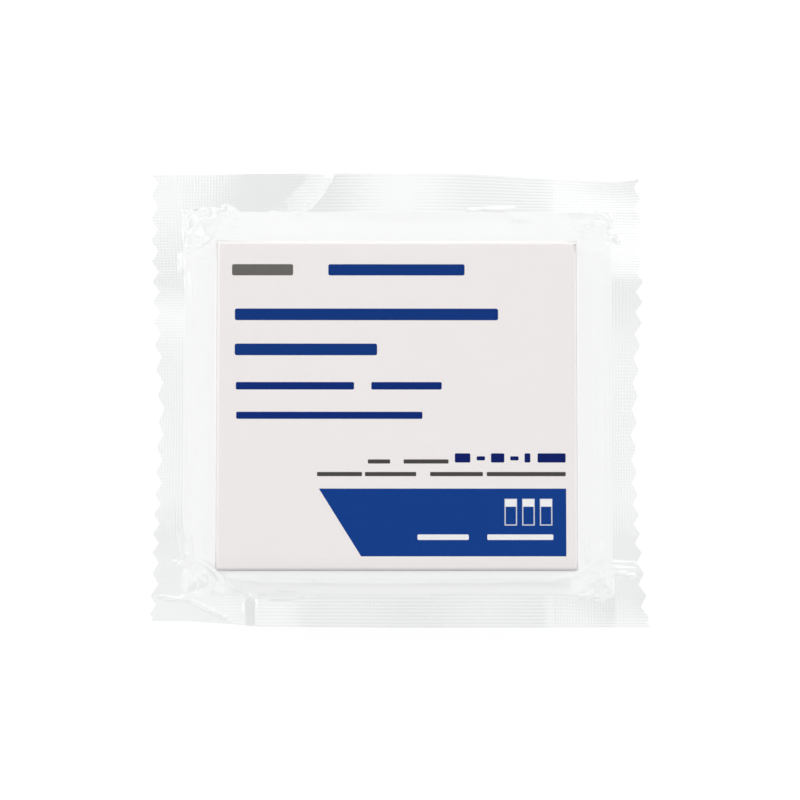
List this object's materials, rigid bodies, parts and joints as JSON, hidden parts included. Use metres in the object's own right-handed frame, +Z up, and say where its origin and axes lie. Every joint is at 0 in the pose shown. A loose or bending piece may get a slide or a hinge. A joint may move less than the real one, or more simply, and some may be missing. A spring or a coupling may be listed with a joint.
{
  "type": "sealed pack of microscope slides",
  "caption": "Closed card carton of plain glass microscope slides, lying label up in a clear heat-sealed film pouch with zigzag-cut sides.",
  "frame": {"origin": "on the surface that the pack lies on, under the middle of the pouch", "axes": "+X along the row of slides in the carton, +Y towards the head of the label, +Z up out of the label face"},
  "size_m": [0.1208, 0.1102, 0.0284],
  "materials": {
    "printed_card": "white coated card, satin, printed with a blue panel and blue and grey bars",
    "clear_film": "clear glossy plastic film, dimpled where it is heat sealed"
  },
  "bodies": {
    "root": {"carton": "printed_card", "front_film": "clear_film", "back_film": "clear_film"}
  },
  "joints": []
}
